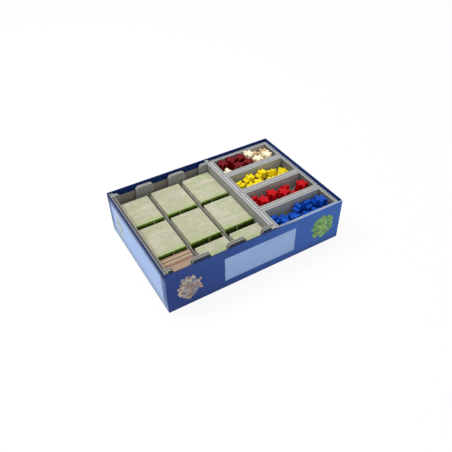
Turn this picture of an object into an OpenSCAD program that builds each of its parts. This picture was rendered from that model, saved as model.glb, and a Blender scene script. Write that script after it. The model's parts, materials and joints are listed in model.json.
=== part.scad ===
// Game box base with a fitted foam-board insert: a tile tray on the left with
// nine upright stacks of square tiles, and on the right four shallow parts trays
// full of wooden pawns, which stand on one lower tray.
//
// Frame: origin under the middle of the box, +X to the right along the front,
// +Y to the back, +Z up. Millimetres.

/* [Game box] */
// Outside length of the box base, left to right
box_l = 270; // [250:1:320]
// Outside width of the box base, front to back
box_w = 187; // [176:1:230]
// Outside height of the box base
box_h = 66; // [64:1:100]
// Thickness of the greyboard panels
board_t = 1.5; // [1:0.1:2.5]
// Thickness of the printed paper wrap
wrap_t = 0.2; // [0.1:0.05:0.4]
// How far the wrap is turned in below the rim
turn_in = 10; // [5:1:20]

/* [Foam board] */
// Thickness of the foam board of the insert
foam_t = 5; // [3:0.5:6]
// Length of the tabs that pin one board into another
tab_l = 18; // [8:1:20]
// Play between the insert and the box on each side
insert_play = 0.3; // [0.2:0.1:2]

/* [Tile tray] */
// Height of the tile tray's walls
tile_tray_h = 63; // [58:1:64]
// How much shorter the tray is than the box's inside, left free in front of it
front_play = 1.6; // [0:0.2:4]
// Height of the dividers above the tray's base
divider_h = 39.7; // [25:0.1:50]
// Height of the tenons at the dividers' ends
divider_tenon_h = 14; // [8:1:20]
// Distance from the tray's end to its inset end boards
end_inset = 3.8; // [3:0.2:8]
// Width of the finger notches in the end boards
notch_w = 24.5; // [16:0.5:30]
// How far the finger notches lie to the left of the columns' middles
notch_shift = 2.4; // [0:0.2:3]
// Height of the finger notches' floor above the tray's underside
notch_floor = 38; // [34:1:48]
// Rounding of the notches' bottom corners
notch_r = 6; // [2:0.5:8]
// Rounding of the top corners of the end boards' tabs
tab_r = 5.5; // [1:0.5:8]

/* [Tiles] */
// Edge length of the square tiles
tile_size = 45; // [40:0.5:48]
// Thickness of a tile
tile_t = 2.1; // [1.6:0.1:3]
// Thickness of the thicker tokens in the near left stack
token_t = 2.7; // [2:0.1:4]
// Air between neighbouring tiles of a stack
tile_air = 0.08; // [0.05:0.01:0.2]
// Play of a tile across its column
tile_play = 1.4; // [0.8:0.1:3]
// Gap between a stack and the wall on its left
tile_side_gap = 0.3; // [0.2:0.1:0.4]
// Finger gap in front of the middle stacks
front_gap = 8.8; // [4:0.1:14]
// Finger gap in front of the back stacks
back_gap = 6.6; // [4:0.1:14]

/* [Parts trays] */
// Height of a parts tray
parts_tray_h = 25; // [20:1:28]
// Height of the lower tray that carries them
lower_tray_h = 34.8; // [20:0.2:36]
// Gap between the tile tray and the parts trays
side_gap = 2.2; // [0.5:0.1:6]
// Gap between neighbouring parts trays
tray_gap = 0.7; // [0.4:0.1:2]

/* [Pawns] */
// Height of a pawn from feet to head
pawn_h = 16; // [12:0.5:20]
// Width of a pawn across its arms
pawn_w = 16; // [12:0.5:20]
// Thickness of a pawn
pawn_t = 10; // [6:0.5:12]
// Air between a pawn and one that it lies on
pawn_air = 0.1; // [0.05:0.01:0.3]
// Radius of a pawn's head
head_r = 3.2; // [2.4:0.1:4]
// Radius of a pawn's round hands
hand_r = 2.3; // [1.6:0.1:2.8]
// Height of the arms' middle above the feet
arm_h = 8.6; // [7:0.1:10]
// Width of a pawn at its waist
waist_w = 6.8; // [5:0.1:9]
// Width of a pawn across its feet
foot_w = 13.6; // [10:0.1:15]
// Width of the opening between the feet
stride_w = 3.6; // [2:0.1:5]
// Height of the opening between the legs
stride_h = 3.4; // [2:0.1:5]

/* [Hidden] */
$fn = 48;

COLOURS = [
    "dark_red", "cream", "natural", "yellow", "red", "blue"
];
ROWS = ["front", "middle", "back"];
TRAY_BOARDS = ["base", "front_wall", "back_wall", "left_wall", "right_wall"];

// How far a cut runs past the faces that it opens
cut = 1;

// Box: the wall is one panel with paper on both faces at the rim
rim_t = board_t + 2 * wrap_t;
panel_h = box_h - 2 * wrap_t;
floor_z = wrap_t + board_t;

// Insert: the rectangle that it fills inside the box
insert_l = box_l - 2 * (rim_t + insert_play);
insert_w = box_w - 2 * (rim_t + insert_play);
insert_x = -insert_l / 2;

// Tile tray: three columns between four upright boards
columns = 3;
column_w = tile_size + tile_play;
column_pitch = column_w + foam_t;
tile_tray_l = columns * column_pitch + foam_t;
tile_tray_in = tile_tray_l - 2 * foam_t;
tile_tray_x = insert_x + tile_tray_l / 2;
tile_tray_w = insert_w - front_play;
tile_tray_y = front_play / 2;
end_board_y = tile_tray_w / 2 - end_inset - foam_t;
end_board_h = tile_tray_h - foam_t;
halving_h = tile_tray_h / 2;
tile_z = floor_z + foam_t;

// Tiles: each row of stacks has a share of the length between the end boards
row_start = [0.003, 0.213, 0.622, 0.998];
row_gap = [front_gap, back_gap, 0];
// Extra finger room behind a stack, by column and row
slack = [[-3, 0, 6], [0, 0, 3.6], [0, 0, 2.4]];

// Parts side: what the tile tray leaves of the insert's length
parts_trays = 4;
parts_l = insert_l - tile_tray_l - side_gap;
parts_x = insert_l / 2 - parts_l / 2;
parts_w = (insert_w - (parts_trays - 1) * tray_gap) / parts_trays;
parts_pitch = parts_w + tray_gap;
parts_z = floor_z + lower_tray_h;
pawn_z = parts_z + foam_t;
parts_in_l = parts_l - 2 * foam_t;
parts_in_w = parts_w - 2 * foam_t;

// Pawns lie about in their tray: [right, back, tilt, roll, turn, pawns below it].
// Right is in steps of one pawn from the tray's middle. Back is a share of the way
// from the middle to the back wall, or to the front wall where it is negative. Tilt
// 90 stands a pawn on its feet, and roll 90 lays it on its side. A step is a pawn's
// width or height, or its thickness times this share if that is more.
thickness_share = 1.6;
heap_step = max(pawn_w, pawn_h, thickness_share * pawn_t);
// Least gap between a pawn and its tray's walls
pawn_play = 0.3;

dark_red_heap = [
    [-2.35, 0.9, 0, 0, 0, 0], [-1.28, 0.9, 0, 0, 180, 0], [-1.1, -0.97, 0, 0, 90, 0],
    [-0.29, 0.95, 0, 0, 0, 0], [-0.06, -0.97, 0, 0, 90, 0], [-2.3, 0.97, 0, 0, 8, 1],
    [-1.27, 0.98, 0, 0, 172, 1], [-1.05, -0.97, 0, 0, 265, 1], [-0.29, 0.95, 0, 0, 2, 1],
    [-0.05, -0.97, 0, 0, 80, 1]
];
cream_heap = [
    [-2.2, -0.6, 90, 0, 5, 0], [0.72, 0.97, 0, 0, 180, 0], [0.72, 0.97, 0, 0, 172, 1],
    [0.97, -0.97, 0, 0, 90, 0], [1, -0.97, 0, 0, 80, 1], [2.3, -0.98, 0, 0, 90, 0],
    [2.2, -0.9, 0, 0, 170, 1]
];
natural_heap = [
    [1.55, 0.97, 0, 90, 180, 0], [2.4, 0.85, 0, 90, 90, 0]
];
yellow_heap = [
    [-2.35, 0.3, 0, 90, 30, 0], [-1.5, -0.95, 0, 90, 60, 0], [-1.1, 0.75, 0, 90, 95, 0],
    [-0.5, -0.48, 0, 0, 25, 0], [0.27, 0.85, 0, 90, 100, 0], [0.62, -0.98, 0, 0, 80, 0],
    [1.38, 0.55, 25, 0, 180, 0], [2.4, 0.2, 0, 0, 5, 0], [1.66, -0.97, 0, 90, 90, 0]
];
red_heap = [
    [-2.4, 0.95, 90, 0, 100, 0], [-1.95, -0.97, 0, 0, 10, 0], [-2, -0.95, 0, 0, 200, 1],
    [-0.95, -0.1, 0, 0, 185, 0], [-0.9, 0.1, 0, 0, 30, 1], [0.04, -0.6, 0, 0, 75, 0],
    [0.12, -0.7, 0, 0, 20, 1], [0.92, 0.8, 90, 0, 75, 0], [1.3, -0.98, 0, 0, 0, 0],
    [2.25, -0.5, 0, 0, 205, 0], [2.2, -0.5, 0, 0, 25, 1]
];
blue_heap = [
    [-2.45, 0.6, 90, 0, 110, 0], [-1.52, 0.1, 0, 0, 200, 0], [-0.62, -0.2, 0, 0, 30, 0],
    [0.3, 0.8, 90, 0, 15, 0], [0.38, -0.98, 0, 0, 80, 0], [1.2, 0.95, 90, 0, 100, 0],
    [1.41, -0.97, 0, 0, 5, 0], [2.25, 0.95, 0, 0, 195, 0], [2.2, 0, 0, 0, 15, 1],
    [2.42, -0.98, 0, 0, 90, 0], [-1.9, -0.98, 90, 0, 0, 0]
];
HEAPS = [dark_red_heap, cream_heap, natural_heap, yellow_heap, red_heap, blue_heap];
// Tray that each colour lies in, counted from the front
heap_tray = [3, 3, 3, 2, 1, 0];
pawn_colour = ["#761520", "#f4e8c8", "#c8ab7c", "#f5dc14", "#d4161f", "#1450b8"];

function stack_name(column, row) = str("tile_stack_", ROWS[row], "_", column + 1);
function parts_name(tray, board) = str("parts_tray_", tray + 1, "_", board);

// Left face of a column, and the middle of the upright board to its left
function column_x(column) = insert_x + foam_t + column * column_pitch;
function divider_x(column) = column_x(column) - foam_t / 2;
// Middle of a parts tray, counted from the front
function parts_y(tray) = (tray - (parts_trays - 1) / 2) * parts_pitch;

// ---- Game box ----

// Upright band of paper, from its outside length and width and its thickness
module sleeve(l, w, t, bottom, top) {
    translate([0, 0, bottom])
        linear_extrude(top - bottom)
            difference() {
                square([l, w], center = true);
                square([l - 2 * t, w - 2 * t], center = true);
            }
}

module box_bottom_sheet() {
    color("#2b3f7d")
        translate([-box_l / 2, -box_w / 2, 0])
            cube([box_l, box_w, wrap_t]);
}

module box_floor_board() {
    l = box_l - 2 * (wrap_t + board_t);
    w = box_w - 2 * (wrap_t + board_t);
    color("#8f8576")
        translate([-l / 2, -w / 2, wrap_t])
            cube([l, w, board_t]);
}

// Front or back panel of the box; side is -1 at the front and 1 at the back
module box_long_board(side) {
    l = box_l - 2 * wrap_t;
    y = side * (box_w / 2 - wrap_t - board_t / 2);
    color("#8f8576")
        translate([-l / 2, y - board_t / 2, wrap_t])
            cube([l, board_t, panel_h]);
}

// Left or right panel, which stands between the long ones
module box_end_board(side) {
    w = box_w - 2 * (wrap_t + board_t);
    x = side * (box_l / 2 - wrap_t - board_t / 2);
    color("#8f8576")
        translate([x - board_t / 2, -w / 2, wrap_t])
            cube([board_t, w, panel_h]);
}

// Printed paper outside the panels, over their rim and down inside it
module box_wrap() {
    inside = wrap_t + board_t;
    color("#34529c")
        union() {
            sleeve(box_l, box_w, wrap_t, wrap_t, box_h);
            sleeve(box_l, box_w, rim_t, box_h - wrap_t, box_h);
            sleeve(box_l - 2 * inside, box_w - 2 * inside, wrap_t, box_h - turn_in, box_h);
        }
}

// ---- Tile tray ----

// Middles of two tabs along a board of the given length
function tab_spots(length) = [-length / 4, length / 4];

// Base between the side walls, with tenons into them and slots for what stands on it
module tile_tray_base() {
    color("#8a8a86")
        translate([tile_tray_x, tile_tray_y, floor_z])
            difference() {
                union() {
                    translate([-tile_tray_in / 2, -tile_tray_w / 2, 0])
                        cube([tile_tray_in, tile_tray_w, foam_t]);
                    for (y = tab_spots(tile_tray_w))
                        translate([-tile_tray_l / 2, y - tab_l / 2, 0])
                            cube([tile_tray_l, tab_l, foam_t]);
                }
                for (c = [1:columns - 1], y = tab_spots(tile_tray_w))
                    translate([divider_x(c) - tile_tray_x - foam_t / 2, y - tab_l / 2, -cut])
                        cube([foam_t, tab_l, foam_t + 2 * cut]);
                for (side = [-1, 1], x = tab_spots(tile_tray_l))
                    translate([x - tab_l / 2, side * (end_board_y + foam_t / 2) - foam_t / 2, -cut])
                        cube([tab_l, foam_t, foam_t + 2 * cut]);
            }
}

// Full-length side wall, slotted from above for the end boards
module tile_tray_side(side) {
    x = side * (tile_tray_l / 2 - foam_t / 2);
    color("#8a8a86")
        translate([tile_tray_x + x - foam_t / 2, tile_tray_y, floor_z])
            difference() {
                translate([0, -tile_tray_w / 2, 0])
                    cube([foam_t, tile_tray_w, tile_tray_h]);
                for (end = [-1, 1])
                    translate([-cut, end * (end_board_y + foam_t / 2) - foam_t / 2, halving_h])
                        cube([foam_t + 2 * cut, foam_t, tile_tray_h]);
                for (y = tab_spots(tile_tray_w))
                    translate([-cut, y - tab_l / 2, -cut])
                        cube([foam_t + 2 * cut, tab_l, foam_t + cut]);
            }
}

// Finger notch in an end board, as the shape that is cut away: round at the
// bottom, and flared at the top so that the tabs beside it have round corners
module finger_notch_outline(depth) {
    translate([-notch_w / 2, notch_r])
        square([notch_w, depth - notch_r + cut]);
    translate([-notch_w / 2 + notch_r, 0])
        square([notch_w - 2 * notch_r, notch_r + cut]);
    for (side = [-1, 1])
        translate([side * (notch_w / 2 - notch_r), notch_r])
            circle(r = notch_r);
    for (side = [-1, 1])
        translate([side * (notch_w / 2 + tab_r), depth - tab_r])
            difference() {
                translate([side > 0 ? -tab_r : 0, 0])
                    square([tab_r, tab_r + cut]);
                circle(r = tab_r);
            }
}

// End board across the tray, halved over the side walls and tabbed into the base
module tile_tray_end(side) {
    color("#8a8a86")
        translate([0, tile_tray_y + side * (end_board_y + foam_t / 2) + foam_t / 2, tile_z])
            rotate([90, 0, 0])
                linear_extrude(foam_t)
                    difference() {
                        union() {
                            translate([insert_x, 0])
                                square([tile_tray_l, end_board_h]);
                            for (x = tab_spots(tile_tray_l))
                                translate([tile_tray_x + x - tab_l / 2, -foam_t])
                                    square([tab_l, foam_t]);
                        }
                        for (c = [0:columns - 1])
                            translate([column_x(c) + column_w / 2 - notch_shift, notch_floor - foam_t])
                                finger_notch_outline(tile_tray_h - notch_floor);
                        for (c = [0, columns])
                            translate([divider_x(c) - foam_t / 2, -cut])
                                square([foam_t, halving_h - foam_t + cut]);
                        for (c = [1:columns - 1])
                            translate([divider_x(c) - foam_t / 2, divider_h / 2 - divider_tenon_h / 2])
                                square([foam_t, divider_tenon_h]);
                    }
}

// Divider between two columns, with tenons through the end boards and tabs below
module tile_tray_divider(column) {
    reach = end_board_y + foam_t;
    color("#8a8a86")
        translate([divider_x(column) - foam_t / 2, tile_tray_y, tile_z]) {
            translate([0, -end_board_y, 0])
                cube([foam_t, 2 * end_board_y, divider_h]);
            translate([0, -reach, divider_h / 2 - divider_tenon_h / 2])
                cube([foam_t, 2 * reach, divider_tenon_h]);
            for (y = tab_spots(tile_tray_w))
                translate([0, y - tab_l / 2, -foam_t])
                    cube([foam_t, tab_l, foam_t + cut]);
        }
}

// ---- Tile stacks ----

// Stack of tiles on edge; the near left one holds thicker tokens
module tile_stack(column, row) {
    inner = 2 * end_board_y;
    thick = (column == 0 && row == 0) ? token_t : tile_t;
    pitch = thick + tile_air;
    y = tile_tray_y - end_board_y + row_start[row] * inner;
    room = (row_start[row + 1] - row_start[row]) * inner - row_gap[row] - slack[column][row];
    color(column == 0 && row == 0 ? "#b39a80" : "#c6c9ad")
        for (i = [0:floor(room / pitch) - 1])
            translate([column_x(column) + tile_side_gap, y + i * pitch, tile_z])
                cube([tile_size, thick, tile_size]);
}

// ---- Foam trays with finger-jointed corners ----

// Boards of an open tray of outside length l, width w and height h, which stands
// on the plane z = 0 around the origin. Tenons of the base fill notches in the
// walls' lower edges, and a finger on each end wall fills a notch in the long walls.
module tray_base(l, w) {
    translate([-l / 2 + foam_t, -w / 2 + foam_t, 0])
        cube([l - 2 * foam_t, w - 2 * foam_t, foam_t]);
    for (x = tab_spots(l))
        translate([x - tab_l / 2, -w / 2, 0])
            cube([tab_l, w, foam_t]);
    translate([-l / 2, -tab_l / 2, 0])
        cube([l, tab_l, foam_t]);
}

// Front wall (side -1) or back wall (side 1), as long as the tray
module tray_long_wall(l, w, h, side) {
    finger_h = h / 3;
    translate([0, side * (w / 2 - foam_t / 2) - foam_t / 2, 0])
        difference() {
            translate([-l / 2, 0, 0])
                cube([l, foam_t, h]);
            for (x = tab_spots(l))
                translate([x - tab_l / 2, -cut, -cut])
                    cube([tab_l, foam_t + 2 * cut, foam_t + cut]);
            for (x = [-l / 2 - cut, l / 2 - foam_t])
                translate([x, -cut, (h - finger_h) / 2])
                    cube([foam_t + cut, foam_t + 2 * cut, finger_h]);
        }
}

// Left wall (side -1) or right wall (side 1), between the long walls
module tray_end_wall(l, w, h, side) {
    finger_h = h / 3;
    translate([side * (l / 2 - foam_t / 2) - foam_t / 2, 0, 0])
        difference() {
            union() {
                translate([0, -w / 2 + foam_t, 0])
                    cube([foam_t, w - 2 * foam_t, h]);
                translate([0, -w / 2, (h - finger_h) / 2])
                    cube([foam_t, w, finger_h]);
            }
            translate([-cut, -tab_l / 2, -cut])
                cube([foam_t + 2 * cut, tab_l, foam_t + cut]);
        }
}

module tray_board(board, l, w, h) {
    if (board == "base") tray_base(l, w);
    if (board == "front_wall") tray_long_wall(l, w, h, -1);
    if (board == "back_wall") tray_long_wall(l, w, h, 1);
    if (board == "left_wall") tray_end_wall(l, w, h, -1);
    if (board == "right_wall") tray_end_wall(l, w, h, 1);
}

module lower_tray(board) {
    color("#858581")
        translate([parts_x, 0, floor_z])
            tray_board(board, parts_l, insert_w, lower_tray_h);
}

module parts_tray(tray, board) {
    color("#8a8a86")
        translate([parts_x, parts_y(tray), parts_z])
            tray_board(board, parts_l, parts_w, parts_tray_h);
}

// ---- Pawns ----

// Person-shaped outline around its own middle, feet down
module pawn_outline() {
    arm_y = arm_h - pawn_h / 2;
    head_y = pawn_h / 2 - head_r;
    translate([0, head_y])
        circle(r = head_r);
    translate([-head_r / 2, arm_y])
        square([head_r, head_y - arm_y]);
    translate([-pawn_w / 2 + hand_r, arm_y - hand_r])
        square([pawn_w - 2 * hand_r, 2 * hand_r]);
    for (side = [-1, 1])
        translate([side * (pawn_w / 2 - hand_r), arm_y])
            circle(r = hand_r);
    polygon([
        [-waist_w / 2, arm_y], [-foot_w / 2, -pawn_h / 2], [-stride_w / 2, -pawn_h / 2],
        [0, stride_h - pawn_h / 2], [stride_w / 2, -pawn_h / 2], [foot_w / 2, -pawn_h / 2],
        [waist_w / 2, arm_y]
    ]);
}

// Height of a pawn's middle above what it lies on, and its half extents in plan
function rest_h(p) = pawn_h / 2 * sin(p[2]) + pawn_w / 2 * sin(p[3])
    + pawn_t / 2 * cos(p[2]) * cos(p[3]);
function half_x(p, share = 1) = pawn_w / 2 * share * cos(p[3]) + pawn_t / 2 * sin(p[3]);
function half_y(p) = pawn_h / 2 * cos(p[2]) + pawn_t / 2 * sin(p[2]);
// Far points of the pawn: hands, sides of the head and outer corners of the feet
head_share = 2 * head_r / pawn_w;
foot_share = foot_w / pawn_w;
function far_points(p) = [
    for (s = [-1, 1]) each [
        [s * half_x(p), pawn_t / 2 * sin(p[2])],
        [s * half_x(p), -pawn_t / 2 * sin(p[2])],
        [s * half_x(p, head_share), half_y(p)],
        [s * half_x(p, foot_share), -half_y(p)]
    ]
];
function reach(p, axis) = max([
    for (q = far_points(p))
        abs(axis == 0 ? q[0] * cos(p[4]) - q[1] * sin(p[4]) : q[0] * sin(p[4]) + q[1] * cos(p[4]))
]);
// Whether a pawn at this place is inside its tray's end walls
function fits(p) = abs(p[0]) * heap_step + reach(p, 0) + pawn_play <= parts_in_l / 2;
// Middle of a pawn, from its tray's middle
function pawn_place(p) = [
    p[0] * heap_step,
    p[1] * (parts_in_w / 2 - reach(p, 1) - pawn_play),
    rest_h(p) + p[5] * (pawn_t + pawn_air)
];

module pawns(colour) {
    color(pawn_colour[colour])
        translate([parts_x, parts_y(heap_tray[colour]), pawn_z])
            for (p = HEAPS[colour])
                if (fits(p))
                    translate(pawn_place(p))
                        rotate([0, 0, p[4]])
                            rotate([p[2], p[3], 0])
                                translate([0, 0, -pawn_t / 2])
                                    linear_extrude(pawn_t)
                                        pawn_outline();
}

// ---- Nodes ----

box_bottom_sheet();
box_floor_board();
box_long_board(-1);  // box_front_board
box_long_board(1);  // box_back_board
box_end_board(-1);  // box_left_board
box_end_board(1);  // box_right_board
box_wrap();
tile_tray_base();
tile_tray_side(-1);  // tile_tray_left_wall
tile_tray_side(1);  // tile_tray_right_wall
tile_tray_end(-1);  // tile_tray_front_board
tile_tray_end(1);  // tile_tray_back_board
tile_tray_divider(1);  // tile_tray_left_divider
tile_tray_divider(2);  // tile_tray_right_divider

for (c = [0:columns - 1], r = [0:len(ROWS) - 1])
    tile_stack(c, r);

for (b = TRAY_BOARDS)
    lower_tray(b);

for (k = [0:parts_trays - 1], b = TRAY_BOARDS)
    parts_tray(k, b);

for (i = [0:len(COLOURS) - 1])
    pawns(i);
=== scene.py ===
"""Looks of a box insert organizer: a game box base with foam-board trays, tiles and wooden pawns."""

import json
import math
import random

import bmesh
import bpy
from mathutils import Matrix, Vector


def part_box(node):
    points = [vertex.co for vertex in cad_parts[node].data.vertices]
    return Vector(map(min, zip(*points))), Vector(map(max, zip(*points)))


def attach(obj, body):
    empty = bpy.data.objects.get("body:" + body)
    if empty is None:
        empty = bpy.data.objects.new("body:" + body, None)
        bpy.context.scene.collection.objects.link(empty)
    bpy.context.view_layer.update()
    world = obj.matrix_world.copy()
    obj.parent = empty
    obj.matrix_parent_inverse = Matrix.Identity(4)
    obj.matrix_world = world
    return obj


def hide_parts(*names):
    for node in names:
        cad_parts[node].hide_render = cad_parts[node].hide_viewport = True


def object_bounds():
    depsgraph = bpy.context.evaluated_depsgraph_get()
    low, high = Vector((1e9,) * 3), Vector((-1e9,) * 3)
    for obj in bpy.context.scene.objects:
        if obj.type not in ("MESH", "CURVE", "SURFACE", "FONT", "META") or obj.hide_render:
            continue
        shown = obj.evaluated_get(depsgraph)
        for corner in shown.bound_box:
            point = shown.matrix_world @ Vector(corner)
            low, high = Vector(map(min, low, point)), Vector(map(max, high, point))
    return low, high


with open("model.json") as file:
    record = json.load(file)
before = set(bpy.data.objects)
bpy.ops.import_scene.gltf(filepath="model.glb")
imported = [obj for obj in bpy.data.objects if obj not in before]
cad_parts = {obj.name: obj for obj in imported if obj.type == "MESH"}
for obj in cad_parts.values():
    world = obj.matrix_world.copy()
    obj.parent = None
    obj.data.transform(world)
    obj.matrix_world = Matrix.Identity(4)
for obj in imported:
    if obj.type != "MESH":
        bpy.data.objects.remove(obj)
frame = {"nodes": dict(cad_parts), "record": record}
CAD_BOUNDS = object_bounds()

MM = 0.001
BOX_LOW, BOX_HIGH = CAD_BOUNDS
HALF_X_MM = BOX_HIGH.x / MM
HALF_Y_MM = BOX_HIGH.y / MM
TOP_MM = BOX_HIGH.z / MM
NODES = frame["nodes"]
BODIES = frame["record"]["behaviour"]["bodies"]
BODY_OF = {node: body for body, nodes in BODIES.items() for node in nodes}
SLOT_OF = {row["node"]: row["material_slot"] for row in frame["record"]["subparts"]}
dice = random.Random(7)


# ---- Camera and lamps ----

# The photograph's view: angles in degrees, lengths in metres
CAMERA_AZIMUTH = -30.33
CAMERA_ELEVATION = 41.91
CAMERA_ROLL = -0.952
CAMERA_DISTANCE = 0.7355
CAMERA_AIM_RIGHT = 0.00326
CAMERA_AIM_UP = 0.00839
LENS_MM = 39.776
SENSOR_MM = 36.0


def direction(azimuth, elevation):
    """Unit vector from the object towards a place at these angles; azimuth 0 is in front."""
    a = math.radians(azimuth)
    e = math.radians(elevation)
    return Vector((math.sin(a) * math.cos(e), -math.cos(a) * math.cos(e), math.sin(e)))


def add_camera():
    back = direction(CAMERA_AZIMUTH, CAMERA_ELEVATION)
    level = Vector((0, 0, 1)).cross(back).normalized()
    rise = back.cross(level)
    roll = math.radians(CAMERA_ROLL)
    right = level * math.cos(roll) + rise * math.sin(roll)
    up = back.cross(right)
    data = bpy.data.cameras.new("camera")
    data.lens = LENS_MM
    data.sensor_width = SENSOR_MM
    data.clip_start = 0.01
    camera = bpy.data.objects.new("camera", data)
    place = back * CAMERA_DISTANCE + right * CAMERA_AIM_RIGHT + up * CAMERA_AIM_UP
    turn = Matrix((right, up, back)).transposed()
    camera.matrix_world = Matrix.Translation(place) @ turn.to_4x4()
    bpy.context.scene.collection.objects.link(camera)
    bpy.context.scene.camera = camera


def add_lamp(name, azimuth, elevation, distance, size, watts):
    data = bpy.data.lights.new(name, "AREA")
    data.shape = "DISK"
    data.size = size
    data.energy = watts
    lamp = bpy.data.objects.new(name, data)
    towards = direction(azimuth, elevation)
    lamp.location = towards * distance
    lamp.rotation_euler = towards.to_track_quat("Z", "Y").to_euler()
    bpy.context.scene.collection.objects.link(lamp)


def add_lights():
    add_lamp("key", azimuth=-125, elevation=56, distance=1.6, size=0.45, watts=13)
    add_lamp("fill", azimuth=-10, elevation=32, distance=1.8, size=1.4, watts=4.2)
    add_lamp("top", azimuth=150, elevation=75, distance=1.8, size=1.4, watts=8.5)


# ---- World and floor ----

# Lengths in metres; the glow is the floor's share of plain white near the object
WORLD_LIGHT = 0.5
FLOOR_HALF = 6.0
FLOOR_DROP_MM = 0.05
FLOOR_GLOW = 0.9
FLOOR_FADE_FROM = 0.4
FLOOR_FADE_TO = 3.0


def backdrop_rays(tree):
    """1 for rays that show the backdrop: from the camera, off a shiny face or through glass."""
    path = tree.nodes.new("ShaderNodeLightPath")
    shown = path.outputs["Is Camera Ray"]
    for kind in ("Is Glossy Ray", "Is Transmission Ray"):
        either = tree.nodes.new("ShaderNodeMath")
        either.operation = "MAXIMUM"
        tree.links.new(shown, either.inputs[0])
        tree.links.new(path.outputs[kind], either.inputs[1])
        shown = either.outputs[0]
    return shown


def add_world():
    world = bpy.data.worlds.new("studio")
    bpy.context.scene.world = world
    world.use_nodes = True
    tree = world.node_tree
    background = tree.nodes["Background"]
    background.inputs["Color"].default_value = (1, 1, 1, 1)
    strength = tree.nodes.new("ShaderNodeMapRange")
    strength.inputs["To Min"].default_value = WORLD_LIGHT
    strength.inputs["To Max"].default_value = 1.0
    tree.links.new(backdrop_rays(tree), strength.inputs["Value"])
    tree.links.new(strength.outputs[0], background.inputs["Strength"])


def floor_material():
    """Pale matt floor whose shadows are faint and which ends in the white of the world."""
    material = bpy.data.materials.new("floor")
    material.use_nodes = True
    tree = material.node_tree
    matte = tree.nodes["Principled BSDF"]
    matte.inputs["Base Color"].default_value = (0.9, 0.9, 0.9, 1)
    matte.inputs["Roughness"].default_value = 0.9
    glow = tree.nodes.new("ShaderNodeEmission")
    place = tree.nodes.new("ShaderNodeTexCoord")
    away = tree.nodes.new("ShaderNodeVectorMath")
    away.operation = "LENGTH"
    tree.links.new(place.outputs["Object"], away.inputs[0])
    fade = tree.nodes.new("ShaderNodeMapRange")
    fade.inputs["From Min"].default_value = FLOOR_FADE_FROM
    fade.inputs["From Max"].default_value = FLOOR_FADE_TO
    fade.inputs["To Min"].default_value = FLOOR_GLOW
    fade.inputs["To Max"].default_value = 1.0
    tree.links.new(away.outputs["Value"], fade.inputs["Value"])
    share = tree.nodes.new("ShaderNodeMath")
    share.operation = "MULTIPLY"
    tree.links.new(backdrop_rays(tree), share.inputs[0])
    tree.links.new(fade.outputs[0], share.inputs[1])
    blend = tree.nodes.new("ShaderNodeMixShader")
    tree.links.new(share.outputs[0], blend.inputs[0])
    tree.links.new(matte.outputs[0], blend.inputs[1])
    tree.links.new(glow.outputs[0], blend.inputs[2])
    tree.links.new(blend.outputs[0], tree.nodes["Material Output"].inputs["Surface"])
    return material


def add_floor():
    bm = bmesh.new()
    bmesh.ops.create_grid(bm, x_segments=1, y_segments=1, size=FLOOR_HALF)
    floor = bpy.data.objects.new("floor", to_mesh(bm, "floor"))
    floor.location.z = BOX_LOW.z - FLOOR_DROP_MM * MM
    floor.data.materials.append(floor_material())
    bpy.context.scene.collection.objects.link(floor)


# ---- Materials ----

def linear(hex_colour):
    """Linear red, green, blue and alpha of a colour written as rrggbb."""
    values = [int(hex_colour[i:i + 2], 16) / 255 for i in (0, 2, 4)]
    return [v / 12.92 if v <= 0.04045 else ((v + 0.055) / 1.055) ** 2.4 for v in values] + [1.0]


# Places of the colour sockets among all those of a Mix node
MIX_COLOUR_A = 6
MIX_COLOUR_B = 7
MIX_COLOUR = 2


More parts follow.
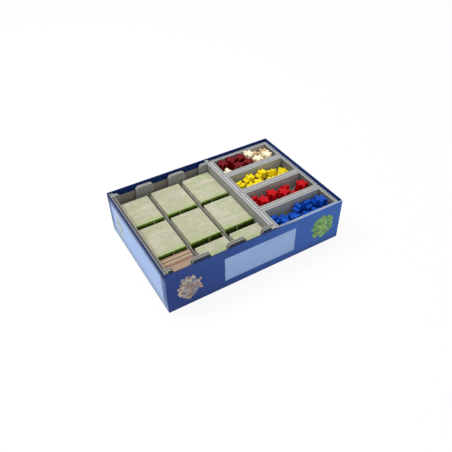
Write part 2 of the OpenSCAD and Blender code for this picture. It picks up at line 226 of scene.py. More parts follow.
class Paint:
    """A node material with coordinates in millimetres; most methods add a node and return its output."""

    def __init__(self, name, roughness, **fixed):
        self.material = bpy.data.materials.new(name)
        self.material.use_nodes = True
        self.tree = self.material.node_tree
        self.surface = self.tree.nodes["Principled BSDF"]
        self.surface.inputs["Roughness"].default_value = roughness
        for socket, value in fixed.items():
            self.surface.inputs[socket.replace("_", " ")].default_value = value
        place = self.tree.nodes.new("ShaderNodeTexCoord")
        scale = self.tree.nodes.new("ShaderNodeVectorMath")
        scale.operation = "SCALE"
        scale.inputs["Scale"].default_value = 1 / MM
        self.tree.links.new(place.outputs["Object"], scale.inputs[0])
        self.mm = scale.outputs[0]
        split = self.tree.nodes.new("ShaderNodeSeparateXYZ")
        self.tree.links.new(self.mm, split.inputs[0])
        self.x, self.y, self.z = split.outputs

    def put(self, socket, value):
        """Links an output to a socket, or sets the socket to a number or colour."""
        if isinstance(value, bpy.types.NodeSocket):
            self.tree.links.new(value, socket)
        elif isinstance(value, str):
            socket.default_value = linear(value)
        else:
            socket.default_value = value

    def math(self, operation, *values):
        node = self.tree.nodes.new("ShaderNodeMath")
        node.operation = operation
        for socket, value in zip(node.inputs, values):
            self.put(socket, value)
        return node.outputs[0]

    def attribute(self, name):
        node = self.tree.nodes.new("ShaderNodeAttribute")
        node.attribute_name = name
        return node.outputs["Fac"]

    def vector(self, x, y, z):
        node = self.tree.nodes.new("ShaderNodeCombineXYZ")
        for socket, value in zip(node.inputs, (x, y, z)):
            self.put(socket, value)
        return node.outputs[0]

    def stretched(self, x, y, z):
        """Millimetre coordinates, each divided by the size of the detail along it."""
        node = self.tree.nodes.new("ShaderNodeVectorMath")
        node.operation = "MULTIPLY"
        self.put(node.inputs[0], self.mm)
        node.inputs[1].default_value = (1 / x, 1 / y, 1 / z)
        return node.outputs[0]

    def noise(self, size, detail, vector=None, rough=0.5):
        """Cloudy noise from 0 to 1; size is that of a blob in millimetres."""
        node = self.tree.nodes.new("ShaderNodeTexNoise")
        self.put(node.inputs["Vector"], vector or self.mm)
        node.inputs["Scale"].default_value = 1 / size
        node.inputs["Detail"].default_value = detail
        node.inputs["Roughness"].default_value = rough
        return node.outputs["Fac"]

    def cells(self, size):
        """Distance to the middle of the nearest cell; size is a cell's in millimetres."""
        node = self.tree.nodes.new("ShaderNodeTexVoronoi")
        self.put(node.inputs["Vector"], self.mm)
        node.inputs["Scale"].default_value = 1 / size
        return node.outputs["Distance"]

    def step(self, value, low, high, out_low=0.0, out_high=1.0):
        """Smooth rise from out_low to out_high as value goes from low to high."""
        node = self.tree.nodes.new("ShaderNodeMapRange")
        node.interpolation_type = "SMOOTHSTEP"
        inputs = (value, low, high, out_low, out_high)
        for socket, given in zip(node.inputs, inputs):
            self.put(socket, given)
        return node.outputs[0]

    def mix(self, share, a, b):
        """Colour a where the share is 0, going over to colour b where it is 1."""
        node = self.tree.nodes.new("ShaderNodeMix")
        node.data_type = "RGBA"
        self.put(node.inputs[0], share)
        self.put(node.inputs[MIX_COLOUR_A], a)
        self.put(node.inputs[MIX_COLOUR_B], b)
        return node.outputs[MIX_COLOUR]

    def ramp(self, value, *stops, sharp=False):
        """Colour from stops of (place, rrggbb)."""
        node = self.tree.nodes.new("ShaderNodeValToRGB")
        ramp = node.color_ramp
        ramp.interpolation = "CONSTANT" if sharp else "LINEAR"
        while len(ramp.elements) < len(stops):
            ramp.elements.new(0.5)
        for element, (place, colour) in zip(ramp.elements, stops):
            element.position = place
            element.color = linear(colour)
        self.put(node.inputs[0], value)
        return node.outputs[0]

    def inside(self, value, low, high, soft=0.3):
        """1 where value is between low and high, with soft borders."""
        up = self.step(value, low - soft / 2, low + soft / 2)
        down = self.step(value, high - soft / 2, high + soft / 2, 1.0, 0.0)
        return self.math("MULTIPLY", up, down)

    def bump(self, height, depth_mm, strength):
        node = self.tree.nodes.new("ShaderNodeBump")
        node.inputs["Strength"].default_value = strength
        node.inputs["Distance"].default_value = depth_mm * MM
        self.put(node.inputs["Height"], height)
        self.put(self.surface.inputs["Normal"], node.outputs[0])

    def colour(self, value):
        self.put(self.surface.inputs["Base Color"], value)

    def roughness(self, value):
        self.put(self.surface.inputs["Roughness"], value)


def foam_paper():
    """Grey paper face of foam board, a little mottled and scuffed; each part's tone makes it paler or
    darker, which is partly painted light and shade.
    """
    p = Paint("foam_paper", 0.7)
    cloud = p.noise(14, 3)
    fibre = p.noise(0.5, 3)
    # The part's tone carries painted light and shade from PALENESS
    base = p.mix(p.attribute("tone"), "5a5a57", "b4b6b4")
    base = p.mix(p.math("MULTIPLY", cloud, 0.3), base, "84847e")
    scuff = p.step(p.noise(5, 5, p.stretched(4, 1, 2.2), 0.7), 0.62, 0.72)
    base = p.mix(p.math("MULTIPLY", scuff, 0.25), base, "a8a8a3")
    p.colour(p.mix(p.math("MULTIPLY", fibre, 0.16), base, "6f6f6b"))
    p.roughness(p.step(cloud, 0.3, 0.7, 0.62, 0.76))
    p.bump(fibre, 0.05, 0.5)
    return p.material


# Where the paper skin begins in a cut edge, how far that line wanders and how soft it is; the
# board's middle is 0 and its face is 1
SKIN_FROM = 0.58
SKIN_WANDER = 0.03
SKIN_BLEND = 0.2


def foam_cut():
    """Cut edge of foam board: pale paper skins on a grey foamed core."""
    p = Paint("foam_cut", 0.8)
    across = p.math("ABSOLUTE", p.attribute("across"))
    streaks = p.noise(2.4, 3, p.stretched(2.5, 2.5, 1))
    core = p.mix(p.attribute("core"), "504e45", "a7aaac")
    core = p.mix(p.math("MULTIPLY", streaks, 0.14), core, "5c5c57")
    skin = p.mix(p.attribute("skin"), "8a897c", "e8eaed")
    skin = p.mix(p.math("MULTIPLY", p.noise(2.2, 3), 0.1), skin, "8f908e")
    border = p.math("MULTIPLY_ADD", p.noise(3, 2), SKIN_WANDER, SKIN_FROM)
    in_skin = p.step(across, border, p.math("ADD", border, SKIN_BLEND))
    p.colour(p.mix(in_skin, core, skin))
    pores = p.math("MULTIPLY", p.cells(0.45), p.math("SUBTRACT", 1.0, in_skin))
    p.bump(pores, 0.06, 0.2)
    return p.material


def greyboard():
    """Unprinted grey-brown board inside the box."""
    p = Paint("greyboard", 0.85)
    flecks = p.noise(0.9, 4, p.stretched(3, 3, 1))
    cloud = p.noise(9, 3)
    base = p.mix(cloud, "857e74", "979087")
    p.colour(p.mix(p.step(flecks, 0.35, 0.75), base, "a8a298"))
    p.bump(flecks, 0.08, 0.5)
    return p.material


# Layout of the print in millimetres: across from the middle of a face, up from the table
PANEL_ACROSS = (-53, 57)
PANEL_UP = (12, 52)
PANEL_BORDER = 0.6
# Where along the front the rim's painted highlight goes over from faint to pale
HIGHLIGHT_ACROSS = (20, 65)
# The long sides' lip, a painted highlight of paler blue along the rim, starts to fade and is gone this
# far under the top
LIP_HIGHLIGHT_UNDER_TOP = (0.5, 0.9)
# Heights between which the deeper blue at the foot of a long side fades
LONG_FOOT_UP = (0, 14)
# On a short side: the dark corners, the greyer foot, its darker lowest edge and where the dark top
# begins, which is partly the rim's navy and partly painted shade of the gap behind the rim
CORNER_SHADE = (8, 17)
SHORT_FOOT_UP = (2, 22)
SHORT_EDGE_UP = (1.2, 2.2)
SHORT_TOP_UP = 49
# The painted highlight on the lining's front rim fades this far in from the front and under the top
RIM_HIGHLIGHT_FROM_FRONT = (2.0, 2.4)
RIM_HIGHLIGHT_UNDER_TOP = (0.4, 0.7)
# The darker line round the underside, from the box's edge
LINE_FROM_EDGE = (12, 12.6)

GREENS = ("4d7d22", "79ab36", "97c54c", "86805a", "aad262", "5f912c")
STONES = ("8a7866", "bfa384", "6f7d98", "dcc4a0", "959cab", "cbb08e")
PALE_STONES = ("8f9c8a", "c7d0d8", "7f9a70", "dfe6ec", "a9b8c0")

# Each mosaic's middle, half width and half height, size of a stone and colours
STONE_MOSAIC = ((-104, 31), (16, 20), 5.0, STONES)
GREEN_MOSAIC = ((104, 33), (19, 19), 4.2, GREENS)
SIDE_MOSAIC = ((58, 30), (12, 19), 4.6, PALE_STONES)
# Where a joint ends and a stone begins, as shares of a stone's size
MOSAIC_JOINT = (0.03, 0.07)


def mosaic(p, ground, across, up, centre, half, cell, colours):
    """An oval of whole uneven stones with thin joints, on the ground colour."""
    place = p.vector(across, up, 0.0)
    stones = p.tree.nodes.new("ShaderNodeTexVoronoi")
    joints = p.tree.nodes.new("ShaderNodeTexVoronoi")
    joints.feature = "DISTANCE_TO_EDGE"
    for node in (stones, joints):
        node.voronoi_dimensions = "2D"
        node.inputs["Scale"].default_value = 1 / cell
        p.put(node.inputs["Vector"], place)
    middle = p.tree.nodes.new("ShaderNodeSeparateXYZ")
    p.put(middle.inputs[0], stones.outputs["Position"])
    dx = p.math("DIVIDE", p.math("SUBTRACT", middle.outputs[0], centre[0]), half[0])
    dz = p.math("DIVIDE", p.math("SUBTRACT", middle.outputs[1], centre[1]), half[1])
    reach = p.math("ADD", p.math("POWER", dx, 2.0), p.math("POWER", dz, 2.0))
    chance = p.tree.nodes.new("ShaderNodeSeparateColor")
    p.put(chance.inputs[0], stones.outputs["Color"])
    stops = [(i / (len(colours) - 1), colour) for i, colour in enumerate(colours)]
    fill = p.ramp(chance.outputs[0], *stops)
    fill = p.mix(p.step(p.noise(1.6, 4), 0.4, 0.65, 0.0, 0.35), fill, colours[0])
    stone = p.step(joints.outputs["Distance"], *MOSAIC_JOINT)
    return p.mix(p.math("MULTIPLY", p.math("LESS_THAN", reach, 1.0), stone), ground, fill)


def on_short_side(p):
    """1 where the paper faces the box's own left or right."""
    geometry = p.tree.nodes.new("ShaderNodeNewGeometry")
    turn = p.tree.nodes.new("ShaderNodeVectorTransform")
    turn.vector_type = "NORMAL"
    turn.convert_from = "WORLD"
    turn.convert_to = "OBJECT"
    p.put(turn.inputs[0], geometry.outputs["Normal"])
    split = p.tree.nodes.new("ShaderNodeSeparateXYZ")
    p.put(split.inputs[0], turn.outputs[0])
    return p.math("GREATER_THAN", p.math("ABSOLUTE", split.outputs[0]), 0.75)


def long_side_print(p, cloud):
    """Front and back: deeper blue at the left and the foot, a pale panel, two mosaics and a lip of
    painted highlight.
    """
    face = p.mix(p.step(p.x, -HALF_X_MM, HALF_X_MM), "2f4180", "3f69b6")
    face = p.mix(p.step(cloud, 0.4, 0.7, 0.0, 0.35), face, "3b5a98")
    face = p.mix(p.step(p.z, *LONG_FOOT_UP, 0.5, 0.0), face, "304880")
    panel_across = p.inside(p.x, *PANEL_ACROSS, PANEL_BORDER)
    panel_up = p.inside(p.z, *PANEL_UP, PANEL_BORDER)
    panel_blue = p.mix(p.noise(24, 3), "8ca8d6", "a2bce4")
    face = p.mix(p.math("MULTIPLY", panel_across, panel_up), face, panel_blue)
    face = mosaic(p, face, p.x, p.z, *STONE_MOSAIC)
    face = mosaic(p, face, p.x, p.z, *GREEN_MOSAIC)
    # Painted highlight: a pale line along the rim's top edge, paler towards the right
    lip_highlight = p.step(p.math("SUBTRACT", TOP_MM, p.z), *LIP_HIGHLIGHT_UNDER_TOP, 1.0, 0.0)
    return p.mix(lip_highlight, face, p.mix(p.step(p.x, *HIGHLIGHT_ACROSS), "46588a", "a6b8de"))


def short_side_print(p, cloud):
    """Left and right: pale blue, darker towards the corners and the rim, with one mosaic; the dark under
    the rim is partly painted shade.
    """
    from_corner = p.math("SUBTRACT", HALF_Y_MM, p.math("ABSOLUTE", p.y))
    face = p.mix(p.step(from_corner, *CORNER_SHADE), "4d6498", "a4bce6")
    face = p.mix(p.step(cloud, 0.35, 0.7, 0.0, 0.3), face, "93addf")
    face = p.mix(p.step(p.z, *SHORT_FOOT_UP, 0.8, 0.0), face, "8a9ab8")
    # Dark towards the top: partly the rim's navy, partly painted shade of the gap between the box wall
    # and the insert
    face = p.mix(p.step(p.z, SHORT_TOP_UP, TOP_MM), face, "0c1638")
    face = p.mix(p.step(p.z, *SHORT_EDGE_UP, 1.0, 0.0), face, "7c8cb6")
    return mosaic(p, face, p.y, p.z, *SIDE_MOSAIC)


def printed_paper():
    """Outside of the wrap: blue with pale panels and small generic mosaics."""
    p = Paint("printed_paper", 0.42, Specular_IOR_Level=0.06)
    cloud = p.noise(45, 3)
    p.colour(p.mix(on_short_side(p), long_side_print(p, cloud), short_side_print(p, cloud)))
    p.roughness(p.step(p.noise(7, 4), 0.3, 0.7, 0.38, 0.5))
    p.bump(p.noise(0.35, 2), 0.02, 0.35)
    return p.material


def lining_paper():
    """The wrap's turned-in band and the rim: plain navy, with a pale painted highlight at the right of
    the front rim.
    """
    p = Paint("lining_paper", 0.55, Specular_IOR_Level=0.08)
    base = p.mix(p.noise(12, 3), "0c2258", "15306c")
    base = p.mix(p.step(p.noise(3, 4), 0.6, 0.75, 0.0, 0.2), base, "22366c")
    # Painted highlight: the front rim's top is paler, the more so towards the right
    at_front = p.step(p.math("ADD", p.y, HALF_Y_MM), *RIM_HIGHLIGHT_FROM_FRONT, 1.0, 0.0)
    on_rim = p.step(p.math("SUBTRACT", TOP_MM, p.z), *RIM_HIGHLIGHT_UNDER_TOP, 1.0, 0.0)
    rim_highlight = p.math("MULTIPLY", p.math("MULTIPLY", at_front, on_rim), p.step(p.x, *HIGHLIGHT_ACROSS))
    p.colour(p.mix(rim_highlight, base, "8ea2ca"))
    p.bump(p.noise(0.4, 2), 0.02, 0.35)
    return p.material


def underside_paper():
    """Sheet under the box: plain blue with a thin darker line all round."""
    p = Paint("underside_paper", 0.45)
    from_end = p.math("SUBTRACT", HALF_X_MM, p.math("ABSOLUTE", p.x))
    from_side = p.math("SUBTRACT", HALF_Y_MM, p.math("ABSOLUTE", p.y))
    from_edge = p.math("MINIMUM", from_end, from_side)
    base = p.mix(p.noise(50, 3), "2b3f7d", "35529c")
    p.colour(p.mix(p.inside(from_edge, *LINE_FROM_EDGE), base, "23356c"))
    p.bump(p.noise(0.35, 2), 0.02, 0.35)
    return p.material


# Where the tiles' edges go over from browner to paler, from left to right in millimetres
BROWN_TO_PALE_ACROSS = (-60, 10)
# Heights between which the painted shade low on the printed faces gives way to their bright tops
BRIGHTER_UP = (46.5, 50.8)
# The pale stripe's half width, where it starts to fade and is gone, and how far it wobbles
STRIPE_HALF_WIDTH = (0.6, 0.9)
STRIPE_WOBBLE = 3.0
# Where the colours of a tile's two faces fade on its cut edge, as shares of its thickness
TILE_PRINT_SIDE = (0.1, 0.22)
TILE_BACK_SIDE = (0.86, 0.97)
TOKEN_FRONT_SIDE = (0.08, 0.2)
TOKEN_BACK_SIDE = (0.82, 0.94)


def tile_edges():
    """Cut edges of the tiles: pale board, greener at the printed front."""
    p = Paint("tile_edges", 0.78)
    across = p.attribute("across")
    tone = p.attribute("tone")
    green = p.attribute("green")
    streak = p.noise(1.0, 3, p.stretched(9, 0.9, 3))
    warm = p.noise(26, 3)
    board = p.mix(p.step(warm, 0.38, 0.62), "b8c19b", "cdc5b4")
    board = p.mix(p.step(p.x, *BROWN_TO_PALE_ACROSS, 0.45, 0.0), board, "b4aa99")
    board = p.mix(p.math("MULTIPLY", tone, 0.4), board, "a8ab86")
    board = p.mix(p.step(streak, 0.35, 0.7, 0.0, 0.5), board, "9c9e80")
    speck = p.step(p.noise(1.5, 2, p.stretched(3.2, 0.8, 1)), 0.58, 0.72, 0.0, 0.4)
    board = p.mix(speck, board, "e6e4d4")
    sheen = p.noise(1.0, 3, p.stretched(26, 14, 26))
    board = p.mix(p.step(sheen, 0.5, 0.72, 0.0, 0.3), board, "dad8c6")
    board = p.mix(p.step(sheen, 0.3, 0.46, 0.18, 0.0), board, "a9a690")
    board = p.mix(p.math("MULTIPLY", green, 0.6), board, "93b14c")
    print_side = p.step(across, *TILE_PRINT_SIDE, 1.0, 0.0)
    back_side = p.step(across, *TILE_BACK_SIDE)
    board = p.mix(p.math("MULTIPLY", print_side, 0.3), board, "7f9150")
    p.colour(p.mix(p.math("MULTIPLY", back_side, 0.2), board, "8c8f76"))
    p.bump(p.noise(0.5, 3, p.stretched(3, 0.5, 3)), 0.05, 0.5)
    return p.material


def tile_print():
    """Printed faces of the tiles: mottled dark green with painted shade, brighter at the top, with a
    pale stripe.
    """
    p = Paint("tile_print", 0.55, Specular_IOR_Level=0.3)
    stripe_at = p.attribute("stripe")
    low = p.ramp(p.noise(5, 4), (0.3, "242b09"), (0.5, "38440f"), (0.72, "52601f"))
    high = p.ramp(p.noise(3, 4), (0.3, "5f801f"), (0.5, "7fa830"), (0.72, "a7c95c"))
    # Painted shade: below the tops the print's mottled green is painted darker, where the faces stand
    # deep in the gaps between stacks
    meadow_and_shade = p.mix(p.step(p.z, *BRIGHTER_UP), low, high)
    wobble = p.math("MULTIPLY_ADD", p.noise(8, 2), STRIPE_WOBBLE, -STRIPE_WOBBLE / 2)
    away = p.math("ABSOLUTE", p.math("ADD", p.math("SUBTRACT", p.x, stripe_at), wobble))
    stripe = p.step(away, *STRIPE_HALF_WIDTH, 1.0, 0.0)
    p.colour(p.mix(stripe, meadow_and_shade, "b9b795"))
    p.roughness(p.step(p.noise(5, 3), 0.3, 0.7, 0.48, 0.62))
    p.bump(p.noise(0.4, 2), 0.02, 0.4)
    return p.material


def token_card():
    """Thick tokens in the near left stack: tan, pink and brown boards."""
    p = Paint("token_card", 0.75)
    tone = p.attribute("tone")
    board = p.ramp(
        tone, (0.0, "9c7a68"), (0.16, "b3967f"), (0.32, "8a6656"), (0.48, "baad8a"),
        (0.64, "a07c6a"), (0.8, "b9a488"), sharp=True,
    )
    streak = p.noise(1.0, 3, p.stretched(10, 0.7, 3))
    board = p.mix(p.step(streak, 0.3, 0.75, 0.0, 0.4), board, "80685a")
    across = p.attribute("across")
    front_side = p.step(across, *TOKEN_FRONT_SIDE, 1.0, 0.0)
    back_side = p.step(across, *TOKEN_BACK_SIDE)
    seam = p.math("MAXIMUM", front_side, back_side)
    p.colour(p.mix(p.math("MULTIPLY", seam, 0.45), board, "56403a"))
    p.bump(p.noise(0.5, 3, p.stretched(3, 0.5, 3)), 0.05, 0.5)
    return p.material


def pawn_paint(name, base, dark, pale, roughness):
    """Painted wood: even colour with faint grain, rubbed a little paler in spots."""
    p = Paint(name, roughness, Specular_IOR_Level=0.1)
    grain = p.noise(1.0, 4, p.stretched(0.9, 3.5, 0.9), 0.6)
    colour = p.mix(p.step(p.noise(6, 2), 0.35, 0.7), base, pale)
    colour = p.mix(p.step(grain, 0.55, 0.75, 0.0, 0.35), colour, dark)
    p.colour(colour)
    p.roughness(p.step(grain, 0.3, 0.7, roughness - 0.06, roughness + 0.08))
    p.bump(grain, 0.06, 0.4)
    return p.material


# ---- Mesh helpers ----

# Corners nearer than this are one corner, and faces that differ by less than this are one face
SAME_PLACE_MM = 0.003
SAME_FACE_DEGREES = 0.8
SHARP_DEGREES = 30
BEVEL_SEGMENTS = 2
ROUND_EDGE_STEPS = 4
SMALLEST_CORNER_MM = 0.02


def joined_faces(node):
    """A CAD node's mesh with its triangles joined into flat faces."""
    bm = bmesh.new()
    bm.from_mesh(NODES[node].data)
    bmesh.ops.remove_doubles(bm, verts=bm.verts, dist=SAME_PLACE_MM * MM)
    flat = math.radians(SAME_FACE_DEGREES)
    bmesh.ops.dissolve_limit(bm, angle_limit=flat, verts=bm.verts, edges=bm.edges)
    return bm


def solids(node):
    """The separate solids of a CAD node, each as a list of faces, and the mesh that holds them."""
    bm = joined_faces(node)
    reached = set()
    found = []
    for first in bm.faces:
        if first in reached:
            continue
        reached.add(first)
        members = [first]
        for face in members:
            around = [near for edge in face.edges for near in edge.link_faces]
            for near in around:
                if near not in reached:
                    reached.add(near)
                    members.append(near)
        found.append(members)
    return bm, found


def soften(bm, width_mm):
    """Bevels every sharp edge."""
    edges = [
        edge for edge in bm.edges
        if len(edge.link_faces) == 2 and edge.calc_face_angle() > math.radians(SHARP_DEGREES)
    ]
    bmesh.ops.bevel(
        bm, geom=edges, offset=width_mm * MM, offset_type="OFFSET", segments=BEVEL_SEGMENTS,
        profile=0.5, affect="EDGES", clamp_overlap=True,
    )


def quarter_turn(radius):
    """A rounded edge from a wall onto a flat top: how far in and how far down each point is."""
    turns = [math.radians(90 * i / ROUND_EDGE_STEPS) for i in range(ROUND_EDGE_STEPS + 1)]
    return [(radius * (1 - math.cos(a)), radius * (1 - math.sin(a))) for a in turns]


def ring(half_x, half_y, inset, radius, steps=6):
    """Points round a rounded rectangle, counter-clockwise, moved inwards by inset."""
    r = max(radius - inset, SMALLEST_CORNER_MM * MM)
    reach_x = half_x - inset - r
    reach_y = half_y - inset - r
    points = []
    for quarter, (sx, sy) in enumerate(((1, 1), (-1, 1), (-1, -1), (1, -1))):
        for i in range(steps + 1):
            a = math.radians(90 * (quarter + i / steps))
            points.append((sx * reach_x + r * math.cos(a), sy * reach_y + r * math.sin(a)))
    return points


def band(bm, rings, closed=False):
    """Walls between rings of points, each ring a list of vertices."""
    count = len(rings[0])
    pairs = list(zip(rings, rings[1:]))
    if closed:
        pairs.append((rings[-1], rings[0]))
    for lower, upper in pairs:
        for i in range(count):
            j = (i + 1) % count
            bm.faces.new((lower[i], lower[j], upper[j], upper[i]))


def stand_in(node, mesh, *materials):
    """Makes the mesh the piece that is shown in place of a CAD node."""
    for material in materials:
        mesh.materials.append(material)
    piece = bpy.data.objects.new(node + "_piece", mesh)
    bpy.context.scene.collection.objects.link(piece)
    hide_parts(node)
    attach(piece, BODY_OF[node])
    return piece


def to_mesh(bm, name):
    bm.normal_update()
    mesh = bpy.data.meshes.new(name)
    bm.to_mesh(mesh)
    bm.free()
    return mesh


# ---- Foam boards ----

FOAM_EDGE_MM = 0.3
# How pale the core, the skins and the faces of these parts' boards are; the first match counts. The
# faces' values are partly painted light and shade
PALENESS = (
    # Painted shade: the trays' floors get dark faces, as if in the shade of the walls and pawns
    ("_base", 0.5, 0.7, 0.1),
    ("divider", 0.0, 0.35, 0.3),
    # Painted light and shade: the tile tray's boards differ partly by how light falls on each of them
    ("tile_tray_right_wall", 0.65, 0.7, 0.5),
    ("tile_tray_left_wall", 0.0, 0.3, 0.35),
    ("tile_tray_front_board", 0.18, 0.3, 0.42),
    ("tile_tray", 0.35, 0.45, 0.45),
    # Painted shade: the parts trays' right walls get dark faces, as if in shade
    ("_right_wall", 0.5, 0.72, 0.1),
    ("tray", 0.55, 0.72, 1.0),
)
TONE_SPREAD = 0.08


def foam_board(node, paper, cut):
    """A board with its edges broken; its paints read off it how pale it is and where its skins are."""
    low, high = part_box(node)
    size = high - low
    thin = min(range(3), key=lambda axis: size[axis])
    middle = (low[thin] + high[thin]) / 2
    bm = joined_faces(node)
    soften(bm, FOAM_EDGE_MM)
    bm.normal_update()
    core, skin, tone = next(shares for part, *shares in PALENESS if part in node)
    looks = {"core": core, "skin": skin, "tone": tone + dice.uniform(-TONE_SPREAD, TONE_SPREAD)}
    layers = {name: bm.verts.layers.float.new(name) for name in ("across", *looks)}
    for vert in bm.verts:
        # -1 and 1 at the board's two faces
        vert[layers["across"]] = 2 * (vert.co[thin] - middle) / size[thin]
        for name, value in looks.items():
            vert[layers[name]] = value
    for face in bm.faces:
        face.material_index = 0 if abs(face.normal[thin]) > 0.9 else 1
    stand_in(node, to_mesh(bm, node), paper, cut)


# ---- Box ----

BOARD_EDGE_MM = 0.45
CORNER_MM = 0.9
RIM_MM = 0.65
TURNED_IN_MM = 10
BOTTOM_EDGE_MM = 0.05
WRAP_SHARP_DEGREES = 50
# How far the print reaches over the rim's edge, as a share of its rounding
PRINT_OVER_FRONT = 0.35
PRINT_OVER_REST = 0.02
# How far the paper's hidden face stays under the top of the rim, in thicknesses of the paper
HIDDEN_UNDER_RIM = 1.2


def box_board(node, material):
    """One of the greyboard's panels with its edges broken."""
    bm = joined_faces(node)
    soften(bm, BOARD_EDGE_MM)
    stand_in(node, to_mesh(bm, node), material)


def box_wrap(printed, lining):
    """Paper up the outside, over the rim and down inside, then back along its other face."""
    node = "box_wrap"
    low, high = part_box(node)
    _, board_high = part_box("box_front_board")
    paper = high.z - board_high.z
    wall = board_high.y - low.y + paper
    rim = RIM_MM * MM
    band_foot = high.z - TURNED_IN_MM * MM
    over_edge = quarter_turn(rim)
    outside = [(0.0, low.z)] + [(across, high.z - down) for across, down in over_edge]
    inside = [(wall - across, high.z - down) for across, down in reversed(over_edge)]
    inside.append((wall, band_foot))
    back = [
        (wall - paper, band_foot),
        (wall - paper, high.z - rim),
        (wall / 2, high.z - paper * HIDDEN_UNDER_RIM),
        (paper, high.z - rim),
        (paper, low.z),
    ]
    bm = bmesh.new()
    rings = []
    for inset, z in outside + inside + back:
        points = ring(high.x, high.y, inset, CORNER_MM * MM)
        rings.append([bm.verts.new((x, y, z)) for x, y in points])
    band(bm, rings, closed=True)
    bm.normal_update()
    for face in bm.faces:
        middle = face.calc_center_median()
        from_front = high.y + middle.y
        if from_front > rim * 2:
            from_outside = min(high.x - abs(middle.x), high.y - middle.y)
            lined = from_outside > rim * PRINT_OVER_REST
        else:
            lined = from_front > rim * PRINT_OVER_FRONT
        face.material_index = 1 if lined else 0
        face.smooth = True
    mesh = to_mesh(bm, node)
    mesh.set_sharp_from_angle(angle=math.radians(WRAP_SHARP_DEGREES))
    stand_in(node, mesh, printed, lining)


def box_bottom(material):
    """The sheet under the box, a little smaller at its lower face."""
    node = "box_bottom_sheet"
    low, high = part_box(node)
    edge = BOTTOM_EDGE_MM * MM
    bm = bmesh.new()
    lower = [bm.verts.new((x, y, low.z)) for x, y in ring(high.x, high.y, edge, CORNER_MM * MM)]
    upper = [bm.verts.new((x, y, high.z)) for x, y in ring(high.x, high.y, 0.0, CORNER_MM * MM)]
    band(bm, [lower, upper])
    bm.faces.new(list(reversed(lower)))
    bm.faces.new(upper)
    stand_in(node, to_mesh(bm, node), material)


# ---- Tiles ----

TILE_CORNER_MM = 1.4
TILE_EDGE_MM = 0.16
# How far a tile may stand out of line and how much it may be larger, from least to most
TILE_SHIFT_MM = (-0.1, 0.35)
TILE_GROWTH_MM = (-0.15, 0.1)
# Where the pale stripe of a printed face may be, from the tile's middle
STRIPE_PLACES_MM = (-9, -4, 5, 8)
# The first tiles of a stack have green edges, less with each tile
GREEN_TILES = 4


def tile_boxes(node):
    """Lowest and highest corner of every tile in a stack, from front to back."""
    source, found = solids(node)
    boxes = []
    for members in found:
        points = [vert.co for face in members for vert in face.verts]
        lowest = Vector([min(p[a] for p in points) for a in range(3)])
        highest = Vector([max(p[a] for p in points) for a in range(3)])
        boxes.append((lowest, highest))
    source.free()
    return sorted(boxes, key=lambda pair: pair[0].y)


def tile(bm, layers, lowest, highest, greenness):
    """A die-cut square with round corners, its own tone and a place a little out of line."""
    shift = dice.uniform(*TILE_SHIFT_MM) * MM
    grow = dice.uniform(*TILE_GROWTH_MM) * MM
    half_x = (highest.x - lowest.x) / 2
    half_z = (highest.z - lowest.z + grow) / 2
    depth = highest.y - lowest.y
    middle = (lowest + highest) / 2
    looks = {"tone": dice.random()}
    looks["green"] = greenness * dice.uniform(0.5, 1.0)
    looks["stripe"] = middle.x / MM + dice.choice(STRIPE_PLACES_MM)
    edge = TILE_EDGE_MM * MM
    # Each ring's distance behind the front face and inset; the front edge is the more worn
    profile = (
        (0, edge), (edge * 0.4, edge * 0.3), (edge, 0), (depth - edge, 0), (depth, edge * 0.6),
    )
    rings = []
    for behind, inset in profile:
        points = ring(half_x, half_z, inset, TILE_CORNER_MM * MM, steps=4)
        verts = []
        for x, z in points:
            place = (middle.x + shift + x, lowest.y + behind, middle.z + grow / 2 + z)
            vert = bm.verts.new(place)
            vert[layers["across"]] = behind / depth
            for name, value in looks.items():
                vert[layers[name]] = value
            verts.append(vert)
        rings.append(verts)
    band(bm, rings)
    bm.faces.new(list(reversed(rings[0]))).material_index = 1
    bm.faces.new(rings[-1]).material_index = 1


def tile_stack(node, edges, faces):
    """All tiles of a stack as one piece, with one paint for the cut edges and one for the faces."""
    bm = bmesh.new()
    layers = {name: bm.verts.layers.float.new(name) for name in ("across", "tone", "green", "stripe")}
    for number, (lowest, highest) in enumerate(tile_boxes(node)):
        tile(bm, layers, lowest, highest, max(0.0, 1 - number / GREEN_TILES))
    bmesh.ops.recalc_face_normals(bm, faces=bm.faces)
    stand_in(node, to_mesh(bm, node), edges, faces)


# ---- Pawns ----

PAWN_EDGE_MM = 0.5
PAWN_POINTS = 168
PAWN_SHARP_DEGREES = 35
# How often the outline is smoothed, and then each ring of the rounded edges
PAWN_SMOOTHING = 6
RING_SMOOTHING = 3
# Each group's paint: its name, the colour, the dark of the grain, the paler spots and the roughness
PAWN_PAINTS = {
    "dark_red_pawns": ("dark_red_paint", "660510", "40030a", "720914", 0.42),
    "cream_pawns": ("cream_paint", "f4e6c2", "cfb88a", "f9efd4", 0.5),
    "natural_pawns": ("natural_wood", "c8ab7c", "9c7f54", "d4ba8e", 0.6),
    "yellow_pawns": ("yellow_paint", "e2c808", "ad880a", "f4df22", 0.42),
    "red_pawns": ("red_paint", "ae030d", "760209", "c00814", 0.42),
    "blue_pawns": ("blue_paint", "0640a4", "04286e", "0c54bc", 0.42),
}


def resampled(points, count):
    """A closed line of points, evenly spaced."""
    lengths = [(points[(i + 1) % len(points)] - p).length for i, p in enumerate(points)]
    total = sum(lengths)
    made = []
    i = 0
    passed = 0.0
    for k in range(count):
        target = total * k / count
        while passed + lengths[i] < target:
            passed += lengths[i]
            i += 1
        share = (target - passed) / lengths[i]
        made.append(points[i].lerp(points[(i + 1) % len(points)], share))
    return made


def smoothed(points, times):
    """A closed line with its corners rounded off; each point moves towards its neighbours."""
    for _ in range(times):
        points = [
            (points[i - 1] + 2 * p + points[(i + 1) % len(points)]) / 4
            for i, p in enumerate(points)
        ]
    return points


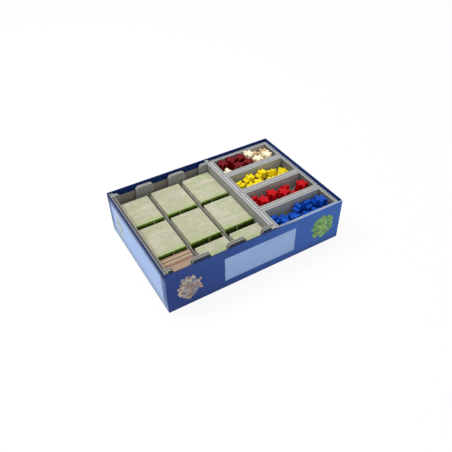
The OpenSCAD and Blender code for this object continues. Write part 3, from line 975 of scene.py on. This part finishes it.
def pawn(bm, faces):
    """A pawn from the faces of a CAD one: its outline with round corners and edges."""
    cap = max(faces, key=lambda face: face.calc_area())
    normal = cap.normal.copy()
    outline = smoothed(resampled([v.co.copy() for v in cap.verts], PAWN_POINTS), PAWN_SMOOTHING)
    heights = [(v.co - outline[0]).dot(normal) for face in faces for v in face.verts]
    thickness = max(heights) - min(heights)
    outwards = [
        (outline[(i + 1) % PAWN_POINTS] - outline[i - 1]).cross(normal).normalized()
        for i in range(PAWN_POINTS)
    ]
    round_edge = quarter_turn(PAWN_EDGE_MM * MM)
    profile = list(reversed(round_edge))
    profile += [(inset, thickness - depth) for inset, depth in round_edge]
    rings = []
    for inset, depth in profile:
        points = [point - out * inset - normal * depth for point, out in zip(outline, outwards)]
        rings.append([bm.verts.new(point) for point in smoothed(points, RING_SMOOTHING)])
    band(bm, rings)
    for ring_verts in (rings[0], rings[-1]):
        middle = sum((vert.co for vert in ring_verts), Vector()) / PAWN_POINTS
        hub = bm.verts.new(middle)
        for i, vert in enumerate(ring_verts):
            bm.faces.new((hub, vert, ring_verts[(i + 1) % PAWN_POINTS]))


def pawn_group(node, material):
    """All pawns of one colour as one piece; weighted normals keep its flat faces looking flat."""
    source, found = solids(node)
    bm = bmesh.new()
    for faces in found:
        pawn(bm, faces)
    source.free()
    bmesh.ops.recalc_face_normals(bm, faces=bm.faces)
    for face in bm.faces:
        face.smooth = True
    mesh = to_mesh(bm, node)
    mesh.set_sharp_from_angle(angle=math.radians(PAWN_SHARP_DEGREES))
    piece = stand_in(node, mesh, material)
    weigh = piece.modifiers.new("weighted_normals", "WEIGHTED_NORMAL")
    weigh.keep_sharp = True


# ---- Build ----

def build_object():
    paper = foam_paper()
    cut = foam_cut()
    board = greyboard()
    for node, slot in SLOT_OF.items():
        if slot == "foam_board":
            foam_board(node, paper, cut)
        elif slot == "box_board":
            box_board(node, board)
    box_wrap(printed_paper(), lining_paper())
    box_bottom(underside_paper())
    edges = tile_edges()
    faces = tile_print()
    tokens = token_card()
    for node, slot in SLOT_OF.items():
        if slot == "tile_card":
            tile_stack(node, edges, faces)
        elif slot == "token_card":
            tile_stack(node, tokens, tokens)
    for node, looks in PAWN_PAINTS.items():
        pawn_group(node, pawn_paint(*looks))


add_camera()
add_lights()
add_world()
add_floor()
build_object()
bpy.context.scene.view_settings.view_transform = "Standard"
